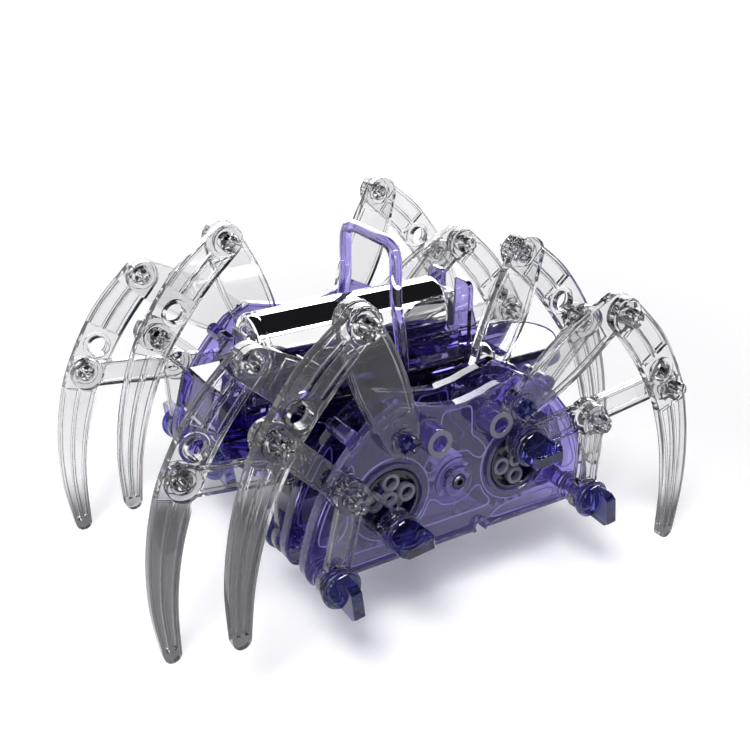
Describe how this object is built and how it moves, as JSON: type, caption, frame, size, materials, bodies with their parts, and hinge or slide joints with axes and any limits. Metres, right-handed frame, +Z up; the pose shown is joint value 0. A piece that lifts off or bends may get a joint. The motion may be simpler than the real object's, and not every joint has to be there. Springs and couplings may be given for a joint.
{
  "type": "walking robot kit",
  "caption": "Multi-legged walking robot kit: clear crank-driven sickle legs on see-through indigo side plates, with a motor, gears and a round cell between them.",
  "frame": {"origin": "floor level under the middle of the robot", "axes": "+X towards the rear (tail plate), along the side plates; +Y towards the robot's right side; +Z up"},
  "size_m": [0.1306, 0.0992, 0.08],
  "materials": {
    "clear_plastic": "clear, polished moulding",
    "indigo_plastic": "see-through indigo, polished moulding",
    "chrome_cell": "bright plated can",
    "motor_metal": "bright plated can",
    "steel": "plain steel",
    "nylon": "off-white nylon",
    "red_wire": "wire insulation",
    "black_wire": "wire insulation"
  },
  "bodies": {
    "body": {"left_outer_plate": "indigo_plastic", "left_inner_plate": "indigo_plastic", "right_outer_plate": "indigo_plastic", "right_inner_plate": "indigo_plastic", "chassis": "indigo_plastic", "cell_tray": "indigo_plastic", "top_loop": "indigo_plastic", "tail_plate": "indigo_plastic", "nose_bracket": "indigo_plastic", "motor": "motor_metal", "cell": "chrome_cell", "front_contact": "steel", "rear_contact": "steel", "front_wire": "red_wire", "rear_wire": "black_wire"},
    "drive_shaft": {"drive_shaft": "steel", "left_pinion": "nylon", "right_pinion": "nylon", "worm_wheel": "nylon"},
    "worm": {"worm": "steel"},
    "left_front_crankshaft": {"left_front_crankshaft": "indigo_plastic"},
    "left_rear_crankshaft": {"left_rear_crankshaft": "indigo_plastic"},
    "right_front_crankshaft": {"right_front_crankshaft": "indigo_plastic"},
    "right_rear_crankshaft": {"right_rear_crankshaft": "indigo_plastic"},
    "left_outer_front_upper_rocker": {"left_outer_front_upper_rocker": "clear_plastic"},
    "left_outer_front_leg": {"left_outer_front_leg": "clear_plastic"},
    "left_outer_front_link": {"left_outer_front_link": "clear_plastic"},
    "left_outer_front_lower_rocker": {"left_outer_front_lower_rocker": "clear_plastic"},
    "left_outer_rear_upper_rocker": {"left_outer_rear_upper_rocker": "clear_plastic"},
    "left_outer_rear_leg": {"left_outer_rear_leg": "clear_plastic"},
    "left_outer_rear_link": {"left_outer_rear_link": "clear_plastic"},
    "left_outer_rear_lower_rocker": {"left_outer_rear_lower_rocker": "clear_plastic"},
    "left_inner_front_upper_rocker": {"left_inner_front_upper_rocker": "clear_plastic"},
    "left_inner_front_leg": {"left_inner_front_leg": "clear_plastic"},
    "left_inner_front_link": {"left_inner_front_link": "clear_plastic"},
    "left_inner_front_lower_rocker": {"left_inner_front_lower_rocker": "clear_plastic"},
    "left_inner_rear_upper_rocker": {"left_inner_rear_upper_rocker": "clear_plastic"},
    "left_inner_rear_leg": {"left_inner_rear_leg": "clear_plastic"},
    "left_inner_rear_link": {"left_inner_rear_link": "clear_plastic"},
    "left_inner_rear_lower_rocker": {"left_inner_rear_lower_rocker": "clear_plastic"},
    "right_outer_front_upper_rocker": {"right_outer_front_upper_rocker": "clear_plastic"},
    "right_outer_front_leg": {"right_outer_front_leg": "clear_plastic"},
    "right_outer_front_link": {"right_outer_front_link": "clear_plastic"},
    "right_outer_front_lower_rocker": {"right_outer_front_lower_rocker": "clear_plastic"},
    "right_outer_rear_upper_rocker": {"right_outer_rear_upper_rocker": "clear_plastic"},
    "right_outer_rear_leg": {"right_outer_rear_leg": "clear_plastic"},
    "right_outer_rear_link": {"right_outer_rear_link": "clear_plastic"},
    "right_outer_rear_lower_rocker": {"right_outer_rear_lower_rocker": "clear_plastic"},
    "right_inner_front_upper_rocker": {"right_inner_front_upper_rocker": "clear_plastic"},
    "right_inner_front_leg": {"right_inner_front_leg": "clear_plastic"},
    "right_inner_front_link": {"right_inner_front_link": "clear_plastic"},
    "right_inner_front_lower_rocker": {"right_inner_front_lower_rocker": "clear_plastic"},
    "right_inner_rear_upper_rocker": {"right_inner_rear_upper_rocker": "clear_plastic"},
    "right_inner_rear_leg": {"right_inner_rear_leg": "clear_plastic"},
    "right_inner_rear_link": {"right_inner_rear_link": "clear_plastic"},
    "right_inner_rear_lower_rocker": {"right_inner_rear_lower_rocker": "clear_plastic"}
  },
  "joints": [
    {"name": "drive_spin", "type": "hinge", "parent": "body", "child": "drive_shaft", "pos_m": [0, 0, 0.03281], "axis": [0, 1, 0], "continuous": true},
    {"name": "worm_spin", "type": "hinge", "parent": "body", "child": "worm", "pos_m": [0, 0, 0.04002], "axis": [1, 0, 0], "continuous": true},
    {"name": "left_front_crankshaft_spin", "type": "hinge", "parent": "body", "child": "left_front_crankshaft", "pos_m": [-0.0165, -0.0304, 0.03281], "axis": [0, 1, 0], "continuous": true},
    {"name": "left_rear_crankshaft_spin", "type": "hinge", "parent": "body", "child": "left_rear_crankshaft", "pos_m": [0.0165, -0.0304, 0.03281], "axis": [0, 1, 0], "continuous": true},
    {"name": "right_front_crankshaft_spin", "type": "hinge", "parent": "body", "child": "right_front_crankshaft", "pos_m": [-0.0165, 0.0304, 0.03281], "axis": [0, 1, 0], "continuous": true},
    {"name": "right_rear_crankshaft_spin", "type": "hinge", "parent": "body", "child": "right_rear_crankshaft", "pos_m": [0.0165, 0.0304, 0.03281], "axis": [0, 1, 0], "continuous": true},
    {"name": "left_outer_front_upper_rocker_swing", "type": "hinge", "parent": "body", "child": "left_outer_front_upper_rocker", "pos_m": [-0.015, -0.0374, 0.04741], "axis": [0, -1, 0], "range_deg": [0, 34.92]},
    {"name": "left_outer_front_leg_knee", "type": "hinge", "parent": "left_outer_front_upper_rocker", "child": "left_outer_front_leg", "pos_m": [-0.02594, -0.0403, 0.07567], "axis": [0, -1, 0], "range_deg": [-29.3, 0]},
    {"name": "left_outer_front_link_turn", "type": "hinge", "parent": "left_outer_front_leg", "child": "left_outer_front_link", "pos_m": [-0.04448, -0.0374, 0.05632], "axis": [0, -1, 0], "range_deg": [0, 33.58]},
    {"name": "left_outer_front_lower_rocker_swing", "type": "hinge", "parent": "body", "child": "left_outer_front_lower_rocker", "pos_m": [-0.033, -0.0403, 0.02142], "axis": [0, -1, 0], "range_deg": [0, 16.38]},
    {"name": "left_outer_rear_upper_rocker_swing", "type": "hinge", "parent": "body", "child": "left_outer_rear_upper_rocker", "pos_m": [0.015, -0.0374, 0.04741], "axis": [0, 1, 0], "range_deg": [-35.42, 0]},
    {"name": "left_outer_rear_leg_knee", "type": "hinge", "parent": "left_outer_rear_upper_rocker", "child": "left_outer_rear_leg", "pos_m": [0.04014, -0.0403, 0.06432], "axis": [0, 1, 0], "range_deg": [0, 29.3]},
    {"name": "left_outer_rear_link_turn", "type": "hinge", "parent": "left_outer_rear_leg", "child": "left_outer_rear_link", "pos_m": [0.05651, -0.0374, 0.0431], "axis": [0, 1, 0], "range_deg": [-33.58, 0]},
    {"name": "left_outer_rear_lower_rocker_swing", "type": "hinge", "parent": "body", "child": "left_outer_rear_lower_rocker", "pos_m": [0.033, -0.0403, 0.02142], "axis": [0, 1, 0], "range_deg": [-16.38, 0]},
    {"name": "left_inner_front_upper_rocker_swing", "type": "hinge", "parent": "body", "child": "left_inner_front_upper_rocker", "pos_m": [-0.015, -0.0234, 0.04741], "axis": [0, -1, 0], "range_deg": [-35.42, 0]},
    {"name": "left_inner_front_leg_knee", "type": "hinge", "parent": "left_inner_front_upper_rocker", "child": "left_inner_front_leg", "pos_m": [-0.04014, -0.0205, 0.06432], "axis": [0, -1, 0], "range_deg": [0, 29.3]},
    {"name": "left_inner_front_link_turn", "type": "hinge", "parent": "left_inner_front_leg", "child": "left_inner_front_link", "pos_m": [-0.05651, -0.0234, 0.0431], "axis": [0, -1, 0], "range_deg": [-33.58, 0]},
    {"name": "left_inner_front_lower_rocker_swing", "type": "hinge", "parent": "body", "child": "left_inner_front_lower_rocker", "pos_m": [-0.033, -0.0205, 0.02142], "axis": [0, -1, 0], "range_deg": [-16.38, 0]},
    {"name": "left_inner_rear_upper_rocker_swing", "type": "hinge", "parent": "body", "child": "left_inner_rear_upper_rocker", "pos_m": [0.015, -0.0234, 0.04741], "axis": [0, 1, 0], "range_deg": [0, 35.42]},
    {"name": "left_inner_rear_leg_knee", "type": "hinge", "parent": "left_inner_rear_upper_rocker", "child": "left_inner_rear_leg", "pos_m": [0.02594, -0.0205, 0.07567], "axis": [0, 1, 0], "range_deg": [-29.3, 0]},
    {"name": "left_inner_rear_link_turn", "type": "hinge", "parent": "left_inner_rear_leg", "child": "left_inner_rear_link", "pos_m": [0.04448, -0.0234, 0.05632], "axis": [0, 1, 0], "range_deg": [0, 33.58]},
    {"name": "left_inner_rear_lower_rocker_swing", "type": "hinge", "parent": "body", "child": "left_inner_rear_lower_rocker", "pos_m": [0.033, -0.0205, 0.02142], "axis": [0, 1, 0], "range_deg": [0, 16.38]},
    {"name": "right_outer_front_upper_rocker_swing", "type": "hinge", "parent": "body", "child": "right_outer_front_upper_rocker", "pos_m": [-0.015, 0.0374, 0.04741], "axis": [0, -1, 0], "range_deg": [-35.42, 0]},
    {"name": "right_outer_front_leg_knee", "type": "hinge", "parent": "right_outer_front_upper_rocker", "child": "right_outer_front_leg", "pos_m": [-0.04014, 0.0403, 0.06432], "axis": [0, -1, 0], "range_deg": [0, 29.3]},
    {"name": "right_outer_front_link_turn", "type": "hinge", "parent": "right_outer_front_leg", "child": "right_outer_front_link", "pos_m": [-0.05651, 0.0374, 0.0431], "axis": [0, -1, 0], "range_deg": [-33.58, 0]},
    {"name": "right_outer_front_lower_rocker_swing", "type": "hinge", "parent": "body", "child": "right_outer_front_lower_rocker", "pos_m": [-0.033, 0.0403, 0.02142], "axis": [0, -1, 0], "range_deg": [-16.38, 0]},
    {"name": "right_outer_rear_upper_rocker_swing", "type": "hinge", "parent": "body", "child": "right_outer_rear_upper_rocker", "pos_m": [0.015, 0.0374, 0.04741], "axis": [0, 1, 0], "range_deg": [0, 35.42]},
    {"name": "right_outer_rear_leg_knee", "type": "hinge", "parent": "right_outer_rear_upper_rocker", "child": "right_outer_rear_leg", "pos_m": [0.02594, 0.0403, 0.07567], "axis": [0, 1, 0], "range_deg": [-29.3, 0]},
    {"name": "right_outer_rear_link_turn", "type": "hinge", "parent": "right_outer_rear_leg", "child": "right_outer_rear_link", "pos_m": [0.04448, 0.0374, 0.05632], "axis": [0, 1, 0], "range_deg": [0, 33.58]},
    {"name": "right_outer_rear_lower_rocker_swing", "type": "hinge", "parent": "body", "child": "right_outer_rear_lower_rocker", "pos_m": [0.033, 0.0403, 0.02142], "axis": [0, 1, 0], "range_deg": [0, 16.38]},
    {"name": "right_inner_front_upper_rocker_swing", "type": "hinge", "parent": "body", "child": "right_inner_front_upper_rocker", "pos_m": [-0.015, 0.0234, 0.04741], "axis": [0, -1, 0], "range_deg": [0, 35.42]},
    {"name": "right_inner_front_leg_knee", "type": "hinge", "parent": "right_inner_front_upper_rocker", "child": "right_inner_front_leg", "pos_m": [-0.02594, 0.0205, 0.07567], "axis": [0, -1, 0], "range_deg": [-29.3, 0]},
    {"name": "right_inner_front_link_turn", "type": "hinge", "parent": "right_inner_front_leg", "child": "right_inner_front_link", "pos_m": [-0.04448, 0.0234, 0.05632], "axis": [0, -1, 0], "range_deg": [0, 33.58]},
    {"name": "right_inner_front_lower_rocker_swing", "type": "hinge", "parent": "body", "child": "right_inner_front_lower_rocker", "pos_m": [-0.033, 0.0205, 0.02142], "axis": [0, -1, 0], "range_deg": [0, 16.38]},
    {"name": "right_inner_rear_upper_rocker_swing", "type": "hinge", "parent": "body", "child": "right_inner_rear_upper_rocker", "pos_m": [0.015, 0.0234, 0.04741], "axis": [0, 1, 0], "range_deg": [-35.42, 0]},
    {"name": "right_inner_rear_leg_knee", "type": "hinge", "parent": "right_inner_rear_upper_rocker", "child": "right_inner_rear_leg", "pos_m": [0.04014, 0.0205, 0.06432], "axis": [0, 1, 0], "range_deg": [0, 29.3]},
    {"name": "right_inner_rear_link_turn", "type": "hinge", "parent": "right_inner_rear_leg", "child": "right_inner_rear_link", "pos_m": [0.05651, 0.0234, 0.0431], "axis": [0, 1, 0], "range_deg": [-33.58, 0]},
    {"name": "right_inner_rear_lower_rocker_swing", "type": "hinge", "parent": "body", "child": "right_inner_rear_lower_rocker", "pos_m": [0.033, 0.0205, 0.02142], "axis": [0, 1, 0], "range_deg": [-16.38, 0]}
  ],
  "couplings": [
    {"joint": "worm_spin", "follows": "drive_spin", "ratio": 14},
    {"joint": "left_front_crankshaft_spin", "follows": "drive_spin", "ratio": -0.36667},
    {"joint": "left_rear_crankshaft_spin", "follows": "drive_spin", "ratio": -0.36667},
    {"joint": "right_front_crankshaft_spin", "follows": "drive_spin", "ratio": -0.36667},
    {"joint": "right_rear_crankshaft_spin", "follows": "drive_spin", "ratio": -0.36667},
    {"joint": "left_outer_front_leg_knee", "follows": "left_outer_front_upper_rocker_swing", "ratio": -0.82467},
    {"joint": "left_outer_front_link_turn", "follows": "left_outer_front_upper_rocker_swing", "ratio": 0.94745},
    {"joint": "left_outer_front_lower_rocker_swing", "follows": "left_outer_front_upper_rocker_swing", "ratio": 0.45474},
    {"joint": "left_outer_rear_upper_rocker_swing", "follows": "left_outer_front_upper_rocker_swing", "ratio": -1},
    {"joint": "left_outer_rear_leg_knee", "follows": "left_outer_front_upper_rocker_swing", "ratio": 0.82467},
    {"joint": "left_outer_rear_link_turn", "follows": "left_outer_front_upper_rocker_swing", "ratio": -0.94745},
    {"joint": "left_outer_rear_lower_rocker_swing", "follows": "left_outer_front_upper_rocker_swing", "ratio": -0.45474},
    {"joint": "left_inner_front_upper_rocker_swing", "follows": "left_outer_front_upper_rocker_swing", "ratio": -1},
    {"joint": "left_inner_front_leg_knee", "follows": "left_outer_front_upper_rocker_swing", "ratio": 0.82467},
    {"joint": "left_inner_front_link_turn", "follows": "left_outer_front_upper_rocker_swing", "ratio": -0.94745},
    {"joint": "left_inner_front_lower_rocker_swing", "follows": "left_outer_front_upper_rocker_swing", "ratio": -0.45474},
    {"joint": "left_inner_rear_upper_rocker_swing", "follows": "left_outer_front_upper_rocker_swing", "ratio": 1},
    {"joint": "left_inner_rear_leg_knee", "follows": "left_outer_front_upper_rocker_swing", "ratio": -0.82467},
    {"joint": "left_inner_rear_link_turn", "follows": "left_outer_front_upper_rocker_swing", "ratio": 0.94745},
    {"joint": "left_inner_rear_lower_rocker_swing", "follows": "left_outer_front_upper_rocker_swing", "ratio": 0.45474},
    {"joint": "right_outer_front_upper_rocker_swing", "follows": "left_outer_front_upper_rocker_swing", "ratio": -1},
    {"joint": "right_outer_front_leg_knee", "follows": "left_outer_front_upper_rocker_swing", "ratio": 0.82467},
    {"joint": "right_outer_front_link_turn", "follows": "left_outer_front_upper_rocker_swing", "ratio": -0.94745},
    {"joint": "right_outer_front_lower_rocker_swing", "follows": "left_outer_front_upper_rocker_swing", "ratio": -0.45474},
    {"joint": "right_outer_rear_upper_rocker_swing", "follows": "left_outer_front_upper_rocker_swing", "ratio": 1},
    {"joint": "right_outer_rear_leg_knee", "follows": "left_outer_front_upper_rocker_swing", "ratio": -0.82467},
    {"joint": "right_outer_rear_link_turn", "follows": "left_outer_front_upper_rocker_swing", "ratio": 0.94745},
    {"joint": "right_outer_rear_lower_rocker_swing", "follows": "left_outer_front_upper_rocker_swing", "ratio": 0.45474},
    {"joint": "right_inner_front_upper_rocker_swing", "follows": "left_outer_front_upper_rocker_swing", "ratio": 1},
    {"joint": "right_inner_front_leg_knee", "follows": "left_outer_front_upper_rocker_swing", "ratio": -0.82467},
    {"joint": "right_inner_front_link_turn", "follows": "left_outer_front_upper_rocker_swing", "ratio": 0.94745},
    {"joint": "right_inner_front_lower_rocker_swing", "follows": "left_outer_front_upper_rocker_swing", "ratio": 0.45474},
    {"joint": "right_inner_rear_upper_rocker_swing", "follows": "left_outer_front_upper_rocker_swing", "ratio": -1},
    {"joint": "right_inner_rear_leg_knee", "follows": "left_outer_front_upper_rocker_swing", "ratio": 0.82467},
    {"joint": "right_inner_rear_link_turn", "follows": "left_outer_front_upper_rocker_swing", "ratio": -0.94745},
    {"joint": "right_inner_rear_lower_rocker_swing", "follows": "left_outer_front_upper_rocker_swing", "ratio": -0.45474}
  ]
}
